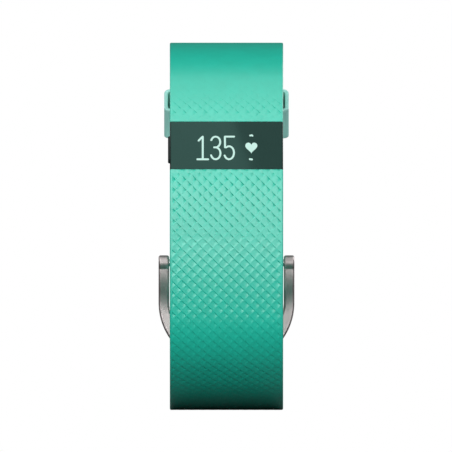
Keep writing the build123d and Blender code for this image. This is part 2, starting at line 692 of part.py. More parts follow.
with BuildPart() as vibration_motor:
    with BuildSketch(motor_axis.offset(MOTOR_LEFT)):
        Circle(MOTOR_RADIUS)
    extrude(amount=MOTOR_LENGTH)
    chamfer(vibration_motor.edges().filter_by(GeomType.CIRCLE), 0.2)
    with BuildSketch(motor_axis.offset(MOTOR_LEFT + MOTOR_LENGTH)):
        Circle(SHAFT_RADIUS + PIN_CLEARANCE)
    extrude(amount=-SHAFT_INSIDE, mode=Mode.SUBTRACT)
vibration_motor.part.label = "vibration_motor"

with BuildPart() as motor_boot:
    with BuildSketch(motor_axis.offset(MOTOR_LEFT + 1)):
        Circle(MOTOR_RADIUS + BOOT_WALL)
        Circle(MOTOR_RADIUS, mode=Mode.SUBTRACT)
    extrude(amount=MOTOR_LENGTH - 2)
motor_boot.part.label = "motor_boot"

with BuildPart() as motor_weight:
    with BuildSketch(motor_axis.offset(MOTOR_LEFT + MOTOR_LENGTH - SHAFT_INSIDE + 0.1)):
        Circle(SHAFT_RADIUS)
    extrude(amount=SHAFT_INSIDE - 0.1 + SHAFT_OUTSIDE)
    with BuildSketch(motor_axis.offset(MOTOR_LEFT + MOTOR_LENGTH + WEIGHT_GAP)):
        Circle(WEIGHT_RADIUS)
        with Locations((0, WEIGHT_RADIUS)):
            Rectangle(2 * WEIGHT_RADIUS, 2 * WEIGHT_RADIUS - 0.8, mode=Mode.SUBTRACT)
        Circle(SHAFT_RADIUS + 0.4)
    extrude(amount=WEIGHT_LENGTH)
motor_weight.part.label = "motor_weight"

# ---------------------------------------------------------------- pulse sensor, vent and port

board_level = sensor.offset(-COVER_THICKNESS)
light_level = board_level.offset(SENSOR_BOARD[2])

with BuildPart() as sensor_board:
    with BuildSketch(board_level):
        Rectangle(SENSOR_BOARD[0], SENSOR_BOARD[1])
    extrude(amount=SENSOR_BOARD[2])
sensor_board.part.label = "sensor_board"

with BuildPart() as green_leds:
    with BuildSketch(light_level):
        with Locations((-LED_X, 0), (LED_X, 0)):
            Rectangle(LED, LED)
    extrude(amount=LIGHT_HEIGHT)
green_leds.part.label = "green_leds"

with BuildPart() as photodiode:
    with BuildSketch(light_level):
        Rectangle(DIODE, DIODE)
    extrude(amount=LIGHT_HEIGHT)
photodiode.part.label = "photodiode"

with BuildPart() as light_baffle:
    with BuildSketch(light_level):
        Rectangle(SENSOR_BOARD[0], SENSOR_BOARD[1])
        with Locations((-LED_X, 0), (LED_X, 0)):
            Rectangle(LED + 0.4, LED + 0.4, mode=Mode.SUBTRACT)
        Rectangle(DIODE + 0.4, DIODE + 0.4, mode=Mode.SUBTRACT)
    extrude(amount=COVER_THICKNESS + SENSOR_STANDOUT - WINDOW_THICKNESS - SENSOR_BOARD[2])
light_baffle.part.label = "light_baffle"

with BuildPart() as sensor_window:
    with BuildSketch(sensor.offset(SENSOR_STANDOUT - WINDOW_THICKNESS)):
        RectangleRounded(WINDOW[0], WINDOW[1], WINDOW_CORNER)
    extrude(amount=WINDOW_THICKNESS)
sensor_window.part.label = "sensor_window"

with BuildPart() as vent_membrane:
    with BuildSketch(vent.offset(VENT_FLOOR)):
        Circle(MEMBRANE_RADIUS)
    extrude(amount=-MEMBRANE_THICKNESS)
vent_membrane.part.label = "vent_membrane"

with BuildPart() as charging_port:
    with BuildSketch(port):
        RectangleRounded(PORT[0], PORT[1], PORT_CORNER)
    extrude(amount=-COVER_THICKNESS)
    with BuildSketch(port.offset(-COVER_THICKNESS)):
        RectangleRounded(PORT[0] + 1.4, PORT[1] + 1.2, PORT_CORNER)
    extrude(amount=-PORT_FLANGE)
    with BuildSketch(port):
        RectangleRounded(PORT_RECESS[0], PORT_RECESS[1], 0.5)
    extrude(amount=-PORT_RECESS[2], mode=Mode.SUBTRACT)
    with BuildSketch(port):
        with Locations(*[(x, 0) for x in contact_xs]):
            Circle(CONTACT_RADIUS)
    extrude(amount=-3, mode=Mode.SUBTRACT)
charging_port.part.label = "charging_port"

with BuildPart() as charging_contacts:
    with BuildSketch(port.offset(CONTACT_TIP)):
        with Locations(*[(x, 0) for x in contact_xs]):
            Circle(CONTACT_RADIUS)
    extrude(amount=-CONTACT_LENGTH)
    depths = charging_contacts.edges().group_by(Axis(port.origin, port.z_dir))
    fillet(depths[-1], 0.2)
charging_contacts.part.label = "charging_contacts"

# ---------------------------------------------------------------- write

pieces = [
    buckle_strap, hole_strap, strap_keeper, buckle_frame, buckle_pin, buckle_prong,
    main_housing, perimeter_gasket, back_cover, cover_screws,
    display_lens, display_gasket, oled_panel, oled_flex,
    button_cap, button_seal, button_switch,
    main_pcb, processor_chip, radio_chip, accelerometer, altimeter, antenna,
    battery, battery_pad, battery_board,
    vibration_motor, motor_boot, motor_weight,
    sensor_board, green_leds, photodiode, light_baffle, sensor_window,
    vent_membrane, charging_port, charging_contacts,
]
os.makedirs("parts", exist_ok=True)
for piece in pieces:
    export_step(piece.part, f"parts/{piece.part.label}.step")
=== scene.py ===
import bmesh
import bpy
import json
import math
import numpy as np
from mathutils import Matrix, Vector
from mathutils.kdtree import KDTree


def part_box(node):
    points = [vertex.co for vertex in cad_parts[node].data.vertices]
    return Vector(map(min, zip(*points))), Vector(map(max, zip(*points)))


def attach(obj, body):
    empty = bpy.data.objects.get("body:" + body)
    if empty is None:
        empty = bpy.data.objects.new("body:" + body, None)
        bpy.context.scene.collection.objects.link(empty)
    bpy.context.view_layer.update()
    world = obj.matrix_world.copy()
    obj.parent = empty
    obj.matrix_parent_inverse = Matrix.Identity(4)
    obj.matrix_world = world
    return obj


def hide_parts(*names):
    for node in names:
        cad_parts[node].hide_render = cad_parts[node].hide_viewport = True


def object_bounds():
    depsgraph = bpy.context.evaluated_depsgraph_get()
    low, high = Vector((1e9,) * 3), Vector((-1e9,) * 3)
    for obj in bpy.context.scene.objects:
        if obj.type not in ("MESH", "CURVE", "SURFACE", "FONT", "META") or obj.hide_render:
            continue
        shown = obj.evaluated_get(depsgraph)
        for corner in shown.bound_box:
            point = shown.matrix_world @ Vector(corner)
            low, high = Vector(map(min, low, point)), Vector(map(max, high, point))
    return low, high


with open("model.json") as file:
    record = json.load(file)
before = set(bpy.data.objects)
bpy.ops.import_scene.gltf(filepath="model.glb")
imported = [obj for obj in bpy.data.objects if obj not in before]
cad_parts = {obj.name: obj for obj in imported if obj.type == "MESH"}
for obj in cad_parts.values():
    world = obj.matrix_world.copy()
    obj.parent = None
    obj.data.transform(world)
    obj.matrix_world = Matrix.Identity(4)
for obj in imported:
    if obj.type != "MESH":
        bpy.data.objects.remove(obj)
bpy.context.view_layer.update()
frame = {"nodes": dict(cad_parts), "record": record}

MM = 0.001

# ------------------------------------------------------------------ the band's outline
# The loop lies in the YZ plane, in millimetres. An angle gives the direction of the outward
# normal: 0 is the front, 90 the top, 180 the rear and -90 or 270 the bottom.

# LAYER_GAP is left between the two straps where they lie on each other at the rear.
BAND_WIDTH, BAND_THICKNESS, LAYER_GAP = 21.1, 2.2, 0.5
HALF_WIDTH = BAND_WIDTH / 2
# The stretches of the outline: the first and last angles of each, and its radius. The radii of
# the back and the heel are worked out, so that the loop closes.
FRONT_POINT = (-28.0, 4.9)
CROWN = (0, 100, 29.3)
SHOULDER = (100, 180, 26.0)
BACK, HEEL = (180, 190), (190, 234)
UNDER_REAR = (234, 270, 32.05)
UNDER_FRONT = (-90, -50, 32.05)
KNEE = (-50, -12, 17.5)
FRONT = (-12, 0, 105.0)
DISPLAY_ANGLE, DISPLAY_HEIGHT = 20.6, 9.45
SEAM = 0.12
CORE_ABOVE, CORE_BELOW = 15.0, 23.0
CORE_HALF, SKIRT_DEPTH, SKIRT_LEAD = 9.7, 7.5, 1.2
UPPER_TAPER, LOWER_TAPER, SKIRT_END = 15.0, 4.6, 2.0
STEP_RADIUS, STEP_START = 7.8, 0.5
TIP_ANGLE, TIP_CORNER = 128.0, 6.0
HOLE_LENGTH, HOLE_WIDTH, HOLE_PITCH, HOLE_LEAD = 5.6, 2.4, 7.75, 0.6
HOLES_TO_TIP, HOLES_TO_CORE = 4, 3


def facing(angle):
    """The outward direction at an angle, as (y, z)."""
    return np.array([-math.cos(math.radians(angle)), math.sin(math.radians(angle))])


class Bend:
    """An arc of the band: its centre, its radius and the angles of its outward normal."""

    def __init__(self, centre, radius, start, end):
        self.centre, self.radius, self.start, self.end = np.array(centre), radius, start, end

    def point(self, angle, out=0.0):
        return self.centre + facing(angle) * (self.radius + out)

    def length(self):
        return abs(math.radians(self.end - self.start) * self.radius)

    def between(self, start, end):
        return Bend(self.centre, self.radius, start, end)

    def moved(self, out):
        return Bend(self.centre, self.radius + out, self.start, self.end)


def chain(point, spans):
    """Bends that follow each other from a point without a corner."""
    bends, point = [], np.array(point)
    for start, end, radius in spans:
        bends.append(Bend(point - facing(start) * radius, radius, start, end))
        point = bends[-1].point(end)
    return bends


def closing_radii(spans):
    """The radii of the back and the heel, which bring the loop back to where it began."""
    gap = sum((facing(end) - facing(start)) * radius for start, end, radius in spans)
    turns = np.array([facing(end) - facing(start) for start, end in (BACK, HEEL)]).T
    return np.linalg.solve(turns, -gap)


def make_outline():
    back_radius, heel_radius = closing_radii([CROWN, SHOULDER, UNDER_REAR, UNDER_FRONT, KNEE, FRONT])
    falling = chain(FRONT_POINT, [(end, start, radius) for start, end, radius in (FRONT, KNEE, UNDER_FRONT)])
    low = [bend.between(bend.end, bend.start) for bend in reversed(falling)]
    return low + chain(FRONT_POINT, [CROWN, SHOULDER, (*BACK, back_radius), (*HEEL, heel_radius), UNDER_REAR])


OUTLINE = make_outline()
BACK_BEND = OUTLINE[5]


def stretch(start, end):
    """The bends of the outline between two angles."""
    kept = [bend for bend in OUTLINE if bend.start < end and bend.end > start]
    return [bend.between(max(bend.start, start), min(bend.end, end)) for bend in kept]


def below_display(distance):
    """The angle at a distance below the display's centre, along the outline."""
    to_front = math.radians(DISPLAY_ANGLE) * CROWN[2]
    if distance < to_front:
        return DISPLAY_ANGLE - math.degrees(distance / CROWN[2])
    return -math.degrees((distance - to_front) / FRONT[2])


display_low = below_display(DISPLAY_HEIGHT / 2)
display_high = below_display(-DISPLAY_HEIGHT / 2)

pin_low, pin_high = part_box("buckle_pin")
pin_z = (pin_low.z + pin_high.z) / 2 / MM
pin_angle = 180 + math.degrees(
    math.asin((BACK_BEND.centre[1] - pin_z) / (BACK_BEND.radius - BAND_THICKNESS / 2))
)


def make_long_route():
    """The outer face of the long strap, from its tip, through the buckle, to the display."""
    drop, middle = BAND_THICKNESS + LAYER_GAP, -BAND_THICKNESS / 2
    start = pin_angle + math.degrees(STEP_START / BACK_BEND.radius)
    high = BACK_BEND.radius + middle + drop - STEP_RADIUS
    low = BACK_BEND.radius + middle + STEP_RADIUS
    turn = math.acos(1 - (4 * drop * STEP_RADIUS - drop**2) / (2 * high * low))
    end = start + math.degrees(turn)
    first = BACK_BEND.centre + facing(start) * high
    second = BACK_BEND.centre + facing(end) * low
    across = second - first
    middle_angle = 180 - math.degrees(math.atan2(across[1], across[0]))
    half = BAND_THICKNESS / 2
    step = [
        Bend(first, STEP_RADIUS + half, start, middle_angle),
        Bend(second, -STEP_RADIUS + half, middle_angle, end),
    ]
    tail = [bend.moved(drop) for bend in stretch(TIP_ANGLE, start)]
    rest = stretch(end, 270) + stretch(-90, display_low - SEAM)
    return tail, step, rest


tail, step, rest = make_long_route()
long_route = tail + step + rest
short_route = stretch(display_high + SEAM, pin_angle)


def wrap(piece, route):
    """Bend a flat piece round a route: its y is the distance along the route's outer face."""
    mesh = piece.data
    flat = np.zeros(len(mesh.vertices) * 3)
    mesh.vertices.foreach_get("co", flat)
    flat = flat.reshape(-1, 3)
    starts = np.cumsum([0.0] + [bend.length() for bend in route])
    which = np.clip(np.searchsorted(starts, flat[:, 1], side="right") - 1, 0, len(route) - 1)
    start = np.array([bend.start for bend in route])[which]
    sweep = np.array([bend.end - bend.start for bend in route])[which]
    length = np.array([bend.length() for bend in route])[which]
    radius = np.array([bend.radius for bend in route])[which] + flat[:, 2]
    centre = np.array([bend.centre for bend in route])[which]
    angle = np.radians(start + sweep * (flat[:, 1] - starts[which]) / length)
    bent = np.column_stack(
        [flat[:, 0], centre[:, 0] - np.cos(angle) * radius, centre[:, 1] + np.sin(angle) * radius]
    )
    mesh.vertices.foreach_set("co", (bent * MM).ravel())
    mesh.update()


def route_length(route):
    return sum(bend.length() for bend in route)


# ------------------------------------------------------------------ modelling helpers

# Places nearer than CLOSE are the same, and a cutter runs OVERSHOOT past what it cuts.
X, Y, Z = 0, 1, 2
CLOSE = 1e-3
OVERSHOOT = 2.0


def start_piece(name):
    """Name the primitive that was just added, and return it."""
    piece = bpy.context.object
    piece.name = piece.data.name = name
    return piece


def select_only(piece):
    bpy.ops.object.select_all(action="DESELECT")
    bpy.context.view_layer.objects.active = piece
    piece.select_set(True)


def open_edit(piece):
    select_only(piece)
    bpy.ops.object.mode_set(mode="EDIT")


def close_edit():
    bpy.ops.object.mode_set(mode="OBJECT")


def pick(piece, kind, test):
    """Select the vertices, edges or faces of the open piece that pass a test."""
    bpy.ops.mesh.select_mode(type=kind)
    bpy.ops.mesh.select_all(action="DESELECT")
    mesh = bmesh.from_edit_mesh(piece.data)
    items = {"VERT": mesh.verts, "EDGE": mesh.edges, "FACE": mesh.faces}[kind]
    for item in items:
        if test(item):
            item.select_set(True)
    mesh.select_flush_mode()
    bmesh.update_edit_mesh(piece.data)


def lies_at(edge, axis, value):
    return all(abs(vertex.co[axis] - value) < CLOSE for vertex in edge.verts)


def span(edge, axis):
    """How far an edge reaches along an axis."""
    return abs(edge.verts[0].co[axis] - edge.verts[1].co[axis])


def cut_away(place, direction):
    """Bisect the open piece and clear what lies in a direction."""
    bpy.ops.mesh.select_all(action="SELECT")
    bpy.ops.mesh.bisect(plane_co=place, plane_no=direction, clear_outer=True, threshold=1e-5)


def slice_across(y):
    """Add a line of edges across the open piece."""
    bpy.ops.mesh.select_all(action="SELECT")
    bpy.ops.mesh.bisect(plane_co=(0, y, 0), plane_no=(0, 1, 0), threshold=1e-5)


def combine(piece, other, operation):
    """Work one object into another with a boolean, and remove it."""
    select_only(piece)
    boolean = piece.modifiers.new("combine", "BOOLEAN")
    boolean.operation, boolean.object, boolean.solver = operation, other, "EXACT"
    bpy.ops.object.modifier_apply(modifier=boolean.name)
    bpy.data.objects.remove(other)


def subtract(piece, cutter):
    combine(piece, cutter, "DIFFERENCE")


def finish_piece(piece, body, replaced, angle=28):
    """Smooth a finished piece and hand it to its body."""
    select_only(piece)
    bpy.ops.object.shade_smooth_by_angle(angle=math.radians(angle))
    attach(piece, body)
    if replaced:
        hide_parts(*replaced)


# ------------------------------------------------------------------ straps

CELL = 1.96
RELIEF_HALF = 5.25 * CELL
RIM = HALF_WIDTH - RELIEF_HALF
RIM_STEPS = 4
LOWER_RIM = 0.3
RIDGE_HALF, WALL_WIDTH, FLOOR_CUTS = 0.05, 0.14, 3
LEAST_PART = 0.45  # of a whole diamond, for one that an edge cuts
SINK_ALL = 0.012
PIT_DEPTH, PIT_REACH, PIT_RISE = 0.27, 0.66, 0.1
# How far below the display the grooves begin and take over, and where the relief fades and ends
GROOVE_DEPTH, GROOVE_FROM, GROOVE_TO = 0.14, 8.0, 22.0
RELIEF_FADES, RELIEF_ENDS = 43.5, 49.5
UPPER_RELIEF, UPPER_RELIEF_REACH = 0.6, 10.3
KNUCKLE_RADIUS, PIN_BORE = 1.5, 0.7
PRONG_SLOT, PRONG_SLOT_WIDTH = 5.2, 3.1


def diamond_sheet(name, length):
    """A flat sheet of diamonds in the strap's outline, with a row of corners at its far end."""
    side = CELL / math.sqrt(2)
    count = 2 * math.ceil((length + BAND_WIDTH) / math.sqrt(2) / side / 2 + 1)
    bpy.ops.mesh.primitive_grid_add(
        x_subdivisions=count, y_subdivisions=count, size=count * side, rotation=(0, 0, math.pi / 4)
    )
    sheet = start_piece(name)
    bpy.ops.object.transform_apply(location=False, rotation=True, scale=False)
    rows = math.floor(length / CELL)
    sheet.data.transform(Matrix.Translation((CELL / 4, length - (rows // 2) * CELL, 0)))
    open_edit(sheet)
    cut_away((RELIEF_HALF, 0, 0), (1, 0, 0))
    cut_away((-RELIEF_HALF, 0, 0), (-1, 0, 0))
    cut_away((0, 0, 0), (0, -1, 0))
    cut_away((0, length, 0), (0, 1, 0))
    bpy.ops.mesh.select_all(action="SELECT")
    bpy.ops.mesh.remove_doubles(threshold=0.002)
    close_edit()
    return sheet


def lattice_centre(point, length):
    """The centre of the diamond that a point lies in, also where an edge cuts the diamond."""
    column = 2 * round((point.x / (CELL / 4) - 1) / 2) + 1
    row = round((length - point.y) / (CELL / 2))
    return Vector((column * CELL / 4, length - row * CELL / 2, 0))


def ramp(value, first, last):
    """Where a value lies between two others, from 0 to 1."""
    return min(1.0, max(0.0, (value - first) / (last - first)))


def eased(value, first, last):
    """The same ramp, with soft ends."""
    share = ramp(value, first, last)
    return share * share * (3 - 2 * share)


def pit_depth(offset):
    """A pit at a diamond's right corner."""
    reach = CELL / 2 - (RIDGE_HALF + WALL_WIDTH) * math.sqrt(2)
    return PIT_DEPTH * eased(1 - (offset - Vector((reach, PIT_RISE, 0))).length / PIT_REACH, 0, 1)


def groove_depth(offset):
    """A groove along a diamond's upper right side, deeper to the right."""
    high_wall, low_wall = (offset.x + offset.y) / (CELL / 2), (offset.x - offset.y) / (CELL / 2)
    depth = eased(high_wall, -0.3, 0.8) * (0.25 + 0.75 * eased(low_wall, -0.6, 0.5))
    return GROOVE_DEPTH * depth * (1 - 0.75 * eased(low_wall, 0.1, 0.8))


def press_relief(sheet, length, strength):
    """Sink every diamond between thin ridges: a pit near the display, and further off a groove."""
    open_edit(sheet)
    least = LEAST_PART * CELL**2 / 2

    def has_relief(face):
        return face.calc_area() > least and strength(face.calc_center_median().y) > 0

    pick(sheet, "FACE", has_relief)
    bpy.ops.mesh.inset(thickness=RIDGE_HALF, use_individual=True, use_boundary=True)
    bpy.ops.mesh.inset(thickness=WALL_WIDTH, use_individual=True, use_boundary=True)
    mesh = bmesh.from_edit_mesh(sheet.data)
    floors = [face.calc_center_median() for face in mesh.faces if face.select]
    tree = KDTree(len(floors))
    for number, centre in enumerate(floors):
        tree.insert(centre, number)
    tree.balance()
    bpy.ops.mesh.subdivide(number_cuts=FLOOR_CUTS)
    mesh = bmesh.from_edit_mesh(sheet.data)
    for vertex in mesh.verts:
        if vertex.select:
            centre = lattice_centre(tree.find(vertex.co)[0], length)
            offset, lower = vertex.co - centre, eased(length - centre.y, GROOVE_FROM, GROOVE_TO)
            depth = pit_depth(offset) * (1 - lower) + groove_depth(offset) * lower
            vertex.co.z = -(SINK_ALL + depth) * strength(centre.y)
    bmesh.update_edit_mesh(sheet.data)
    close_edit()


def give_thickness(sheet, length):
    """Roll the sheet's long edges over, carry them down and close the underside and the ends."""
    open_edit(sheet)
    quarter = [math.pi / 2 * number / RIM_STEPS for number in range(RIM_STEPS + 1)]
    profile = [(RIM * math.sin(turn), RIM * (math.cos(turn) - 1)) for turn in quarter]
    low = -BAND_THICKNESS + LOWER_RIM
    for turn in quarter:
        profile.append((RIM + LOWER_RIM * (math.cos(turn) - 1), low - LOWER_RIM * math.sin(turn)))
    for side in (-1, 1):
        pick(sheet, "EDGE", lambda edge: edge.is_boundary and lies_at(edge, X, side * RELIEF_HALF))
        for here, there in zip(profile, profile[1:]):
            move = (side * (there[0] - here[0]), 0, there[1] - here[1])
            bpy.ops.mesh.extrude_region_move(TRANSFORM_OT_translate={"value": move})

    def is_lower_rim(edge):
        return edge.is_boundary and lies_at(edge, Z, -BAND_THICKNESS) and span(edge, X) < CLOSE

    pick(sheet, "EDGE", is_lower_rim)
    bpy.ops.mesh.bridge_edge_loops()
    for end in (0, length):
        pick(sheet, "EDGE", lambda edge: edge.is_boundary and lies_at(edge, Y, end))
        bpy.ops.mesh.edge_face_add()
    bpy.ops.mesh.select_all(action="SELECT")
    bpy.ops.mesh.normals_make_consistent(inside=False)
    close_edit()


def lower_underside(sheet, taper, skirt):
    """Deepen the underside between two lines, where the strap swells round the tracker's core."""
    open_edit(sheet)
    slice_across(taper)
    slice_across(skirt)
    mesh = bmesh.from_edit_mesh(sheet.data)
    top_of_rim = -BAND_THICKNESS + LOWER_RIM + CLOSE
    for vertex in mesh.verts:
        if vertex.co.z < top_of_rim:
            vertex.co.z -= (SKIRT_DEPTH - BAND_THICKNESS) * ramp(vertex.co.y, taper, skirt)
    bmesh.update_edit_mesh(sheet.data)
    close_edit()


def core_pocket(start, end):
    """A block the size of the tracker's core, to be taken out of a flat strap."""
    height = 2 * SKIRT_DEPTH
    centre = (0, (start + end) / 2, -BAND_THICKNESS - height / 2)
    bpy.ops.mesh.primitive_cube_add(size=1, location=centre, scale=(2 * CORE_HALF, end - start, height))
    block = start_piece("core_block")
    bpy.ops.object.transform_apply(location=True, rotation=False, scale=True)
    open_edit(block)
    for number in range(1, math.ceil(end - start)):
        slice_across(start + number)
    close_edit()
    return block


def hole_cutter(y):
    """A round-ended slot, to be taken out of a flat strap."""
    radius = HOLE_WIDTH / 2
    bpy.ops.mesh.primitive_cylinder_add(
        vertices=32, radius=radius, depth=3 * BAND_THICKNESS, location=(0, y, -BAND_THICKNESS / 2)
    )
    slot = start_piece("slot_block")
    bpy.ops.object.transform_apply(location=True, rotation=False, scale=False)
    for vertex in slot.data.vertices:
        ahead = vertex.co.y - y
        if abs(ahead) > CLOSE:
            vertex.co.y += math.copysign((HOLE_LENGTH - HOLE_WIDTH) / 2, ahead)
    return slot


def round_tip(sheet):
    """Draw in the strap's free end to rounded corners."""
    for vertex in sheet.data.vertices:
        if vertex.co.y < TIP_CORNER:
            inset = TIP_CORNER - math.sqrt(TIP_CORNER**2 - (TIP_CORNER - max(vertex.co.y, 0)) ** 2)
            vertex.co.x *= (HALF_WIDTH - inset) / HALF_WIDTH


def make_long_strap():
    length = route_length(long_route)
    sheet = diamond_sheet("long_strap", length)
    press_relief(sheet, length, lambda y: ramp(y, length - RELIEF_ENDS, length - RELIEF_FADES))
    give_thickness(sheet, length)
    core_end = length - (CORE_BELOW - DISPLAY_HEIGHT / 2)
    taper = core_end - math.radians(LOWER_TAPER) * FRONT[2]
    lower_underside(sheet, taper, core_end - SKIRT_LEAD)
    subtract(sheet, core_pocket(core_end, length + OVERSHOOT))
    engaged = route_length(tail) + step[0].length() - HOLE_LEAD
    for number in range(-HOLES_TO_TIP, HOLES_TO_CORE + 1):
        subtract(sheet, hole_cutter(engaged + number * HOLE_PITCH))
    round_tip(sheet)
    wrap(sheet, long_route)
    return sheet


def cross_bar(name, y, radius, length):
    """A round bar across a flat strap, half way through its thickness."""
    centre, along_x = (0, y, -BAND_THICKNESS / 2), (0, math.pi / 2, 0)
    bpy.ops.mesh.primitive_cylinder_add(
        vertices=48, radius=radius, depth=length, location=centre, rotation=along_x
    )
    bar = start_piece(name)
    bpy.ops.object.transform_apply(location=True, rotation=True, scale=False)
    return bar


def add_knuckle(strap, y):
    """Swell the strap's end round the buckle's pin, and open it for the prong."""
    knuckle = cross_bar("knuckle", y, KNUCKLE_RADIUS, BAND_WIDTH)
    open_edit(knuckle)
    pick(knuckle, "EDGE", lambda edge: edge.verts[0].co.x * edge.verts[1].co.x > 0)
    bpy.ops.mesh.bevel(offset=RIM, segments=RIM_STEPS)
    close_edit()
    combine(strap, knuckle, "UNION")
    opening = (PRONG_SLOT_WIDTH, PRONG_SLOT, 4 * KNUCKLE_RADIUS)
    bpy.ops.mesh.primitive_cube_add(size=1, location=(0, y, -BAND_THICKNESS / 2), scale=opening)
    slot = start_piece("slot_block")
    bpy.ops.object.transform_apply(location=True, rotation=False, scale=True)
    subtract(strap, slot)
    subtract(strap, cross_bar("pin_bore", y, PIN_BORE, BAND_WIDTH + OVERSHOOT))


def make_short_strap():
    length = route_length(short_route)
    sheet = diamond_sheet("short_strap", length)
    press_relief(sheet, length, lambda y: UPPER_RELIEF * ramp(y, length - UPPER_RELIEF_REACH, length))
    sheet.data.transform(Matrix.Scale(-1, 4, (0, 1, 0)))
    sheet.data.transform(Matrix.Translation((0, length, 0)))
    sheet.data.flip_normals()
    give_thickness(sheet, length)
    core_end = CORE_ABOVE - DISPLAY_HEIGHT / 2
    skirt = core_end + math.radians(SKIRT_END) * CROWN[2]
    taper = core_end + math.radians(UPPER_TAPER) * CROWN[2]
    lower_underside(sheet, taper, skirt)
    subtract(sheet, core_pocket(-OVERSHOOT, core_end))
    add_knuckle(sheet, length)
    wrap(sheet, short_route)
    return sheet


long_strap = make_long_strap()
short_strap = make_short_strap()

# ------------------------------------------------------------------ keeper

KEEPER_ANGLE, KEEPER_LENGTH, KEEPER_WALL = 151.5, 6.8, 0.75
KEEPER_GAP, KEEPER_SLICES = 0.3, 8
KEEPER_SHARP = 1.4  # radians between faces, for an edge to be rounded
KEEPER_CORNER, KEEPER_INNER_CORNER, KEEPER_EDGE = 1.2, 0.6, 0.22


def keeper_block(name, half_width, low, high, length, corner):
    """A bar along the strap with rounded long edges."""
    centre = (0, KEEPER_LENGTH / 2, (low + high) / 2)
    bpy.ops.mesh.primitive_cube_add(size=1, location=centre, scale=(2 * half_width, length, high - low))
    block = start_piece(name)
    bpy.ops.object.transform_apply(location=True, rotation=False, scale=True)
    open_edit(block)
    pick(block, "EDGE", lambda edge: span(edge, Y) > CLOSE)
    bpy.ops.mesh.bevel(offset=corner, segments=6)
    close_edit()
    return block


def make_keeper():
    half_turn = math.degrees(KEEPER_LENGTH / 2 / SHOULDER[2])
    inner_half = HALF_WIDTH + KEEPER_GAP
    inner_low, inner_high = -BAND_THICKNESS - KEEPER_GAP, LAYER_GAP + BAND_THICKNESS + KEEPER_GAP
    wall = KEEPER_WALL
    loop = keeper_block(
        "keeper_loop", inner_half + wall, inner_low - wall, inner_high + wall, KEEPER_LENGTH, KEEPER_CORNER
    )
    opening = keeper_block(
        "keeper_opening", inner_half, inner_low, inner_high, KEEPER_LENGTH + OVERSHOOT, KEEPER_INNER_CORNER
    )
    subtract(loop, opening)

    def is_mouth_edge(edge):
        return span(edge, Y) < CLOSE and edge.calc_face_angle() > KEEPER_SHARP

    open_edit(loop)
    pick(loop, "EDGE", is_mouth_edge)
    bpy.ops.mesh.bevel(offset=KEEPER_EDGE, segments=4)
    for number in range(1, KEEPER_SLICES):
        slice_across(KEEPER_LENGTH * number / KEEPER_SLICES)
    close_edit()
    wrap(loop, stretch(KEEPER_ANGLE - half_turn, KEEPER_ANGLE + half_turn))
    return loop


keeper_loop = make_keeper()

# ------------------------------------------------------------------ the lit readout on the lens

READOUT_LIFT, READOUT_FLATTENED = 0.03, 0.12
STROKE = 0.36
HEART_X, HEART_Y, HEART_HALF, HEART_THICKNESS = 4.62, -0.66, 1.12, 0.3
DIGIT_HIGH, DIGIT_LOW = 1.6, -2.87
lens_route = stretch(display_low, display_high)


def digit_height(share):
    """A height on the display, from the foot of the digits to their top."""
    return DIGIT_LOW + (DIGIT_HIGH - DIGIT_LOW) * share


def close_points(corners):
    """The corners of a line with points between them, so that it can bend with the lens."""
    points = [corners[0]]
    for here, there in zip(corners, corners[1:]):
        parts = max(1, round(math.dist(here, there) / STROKE))
        points += [Vector(here).lerp(Vector(there), number / parts) for number in range(1, parts + 1)]
    return points


def stroke(corners):
    """A rounded pen stroke through points on the flat display, as a mesh."""
    points = close_points(corners)
    line = bpy.data.curves.new("stroke", "CURVE")
    line.dimensions, line.bevel_depth, line.bevel_resolution = "3D", STROKE / 2, 3
    line.use_fill_caps = True
    spline = line.splines.new("POLY")
    spline.points.add(len(points) - 1)
    for place, point in zip(spline.points, points):
        place.co = (point[0], point[1], 0, 1)
    piece = bpy.data.objects.new("stroke", line)
    bpy.context.scene.collection.objects.link(piece)
    ends = []
    for point in (points[0], points[-1]):
        bpy.ops.mesh.primitive_uv_sphere_add(
            segments=12, ring_count=8, radius=STROKE / 2, location=(point[0], point[1], 0)
        )
        ends.append(bpy.context.object)
    select_only(piece)
    bpy.ops.object.convert(target="MESH")
    for end in ends:
        end.select_set(True)
    bpy.ops.object.join()
    return bpy.context.object


def arc(centre_x, centre_share, half_width, half_share, start, end, steps=14):
    """Points on part of an ellipse on the display. Angles are in degrees, anticlockwise from +X."""
    points = []
    for number in range(steps + 1):
        turn = math.radians(start + (end - start) * number / steps)
        share = centre_share + half_share * math.sin(turn)
        points.append((centre_x + half_width * math.cos(turn), digit_height(share)))
    return points


def lay_on_lens(piece, name):
    """Flatten a drawn piece and lay it round the lens, just proud of its face."""
    piece.name = piece.data.name = name
    piece.data.transform(Matrix.Diagonal((1, 1, READOUT_FLATTENED, 1)))
    middle = route_length(lens_route) / 2
    piece.data.transform(Matrix.Translation((0, middle, READOUT_LIFT)))
    wrap(piece, lens_route)
    finish_piece(piece, "band", None)
    return piece


def join_strokes(strokes):
    select_only(strokes[0])
    for piece in strokes:
        piece.select_set(True)
    bpy.ops.object.join()
    return bpy.context.object


